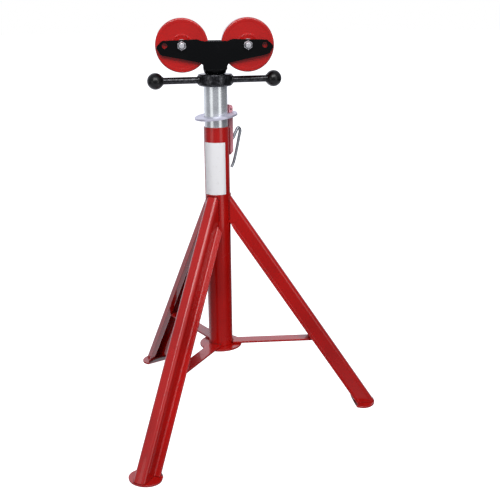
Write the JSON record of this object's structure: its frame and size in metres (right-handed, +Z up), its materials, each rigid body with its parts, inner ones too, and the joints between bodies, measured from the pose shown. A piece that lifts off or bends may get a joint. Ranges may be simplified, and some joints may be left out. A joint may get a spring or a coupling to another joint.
{
  "type": "pipe jack stand",
  "caption": "Three-legged pipe stand: sliding mast held by a canted friction ring, screw jack with a two-armed handle, and a swivelling head with two rollers.",
  "frame": {"origin": "on the floor, under the centre of the feet's bounding box; the mast's axis stands at x = -72.09 mm, y = 0", "axes": "+Z up along the mast; +X along the right leg and along the head's yoke; +Y to the rear, along the roller axles"},
  "size_m": [0.5017, 0.5692, 0.7881],
  "materials": {
    "red_paint": "gloss",
    "black_paint": "semi-gloss",
    "cast_black": "cast, semi-gloss",
    "zinc": "zinc plated, satin",
    "ring_steel": "plated, satin",
    "bright_steel": "bright",
    "label": "satin, bare"
  },
  "bodies": {
    "frame": {"outer_post": "red_paint", "post_label": "label", "base_flange": "red_paint", "lock_bar": "red_paint", "leg_right": "red_paint", "leg_rear": "red_paint", "leg_front": "red_paint", "foot_pad_right": "red_paint", "foot_pad_rear": "red_paint", "foot_pad_front": "red_paint", "brace_right": "red_paint", "brace_rear": "red_paint", "brace_front": "red_paint"},
    "mast": {"inner_tube": "zinc"},
    "ring": {"friction_ring": "ring_steel"},
    "pin": {"hitch_pin": "zinc"},
    "handle": {"handle_hub": "cast_black", "handle_rod_left": "cast_black", "handle_rod_right": "cast_black", "handle_ball_left": "cast_black", "handle_ball_right": "cast_black"},
    "screw": {"lift_screw": "zinc"},
    "head": {"head_cup": "black_paint", "yoke_plate_front": "black_paint", "yoke_plate_rear": "black_paint", "yoke_spreader": "black_paint", "roller_sleeve_left": "bright_steel", "roller_sleeve_right": "bright_steel", "roller_washer_left_front": "zinc", "roller_washer_left_rear": "zinc", "roller_washer_right_front": "zinc", "roller_washer_right_rear": "zinc", "roller_bolt_left": "bright_steel", "roller_bolt_right": "bright_steel", "roller_nut_left": "bright_steel", "roller_nut_right": "bright_steel"},
    "left_roller": {"roller_left": "red_paint"},
    "right_roller": {"roller_right": "red_paint"}
  },
  "joints": [
    {"name": "mast_slide", "type": "slide", "parent": "frame", "child": "mast", "axis": [0, 0, 1], "range_m": [-0.035, 0.285]},
    {"name": "nut_spin", "type": "hinge", "parent": "mast", "child": "handle", "pos_m": [-0.07209, 0, 0.67645], "axis": [0, 0, -1], "range_deg": [0, 5040]},
    {"name": "screw_lift", "type": "slide", "parent": "mast", "child": "screw", "axis": [0, 0, 1], "range_m": [0, 0.089]},
    {"name": "head_swivel", "type": "hinge", "parent": "screw", "child": "head", "pos_m": [-0.07209, 0, 0.68755], "axis": [0, 0, 1], "continuous": true},
    {"name": "roller_left_spin", "type": "hinge", "parent": "head", "child": "left_roller", "pos_m": [-0.13209, 0, 0.73956], "axis": [0, 1, 0], "continuous": true},
    {"name": "roller_right_spin", "type": "hinge", "parent": "head", "child": "right_roller", "pos_m": [-0.01209, 0, 0.73956], "axis": [0, 1, 0], "continuous": true},
    {"name": "ring_tilt", "type": "hinge", "parent": "frame", "child": "ring", "pos_m": [-0.04423, 0.01359, 0.61336], "axis": [-0.4384, 0.8988, 0], "range_deg": [0, 7]},
    {"name": "pin_pull", "type": "slide", "parent": "frame", "child": "pin", "axis": [0.8988, 0.4384, 0], "range_m": [0, 0.04]}
  ],
  "couplings": [
    {"joint": "screw_lift", "follows": "nut_spin", "m_per_rad": 0.0010106}
  ]
}
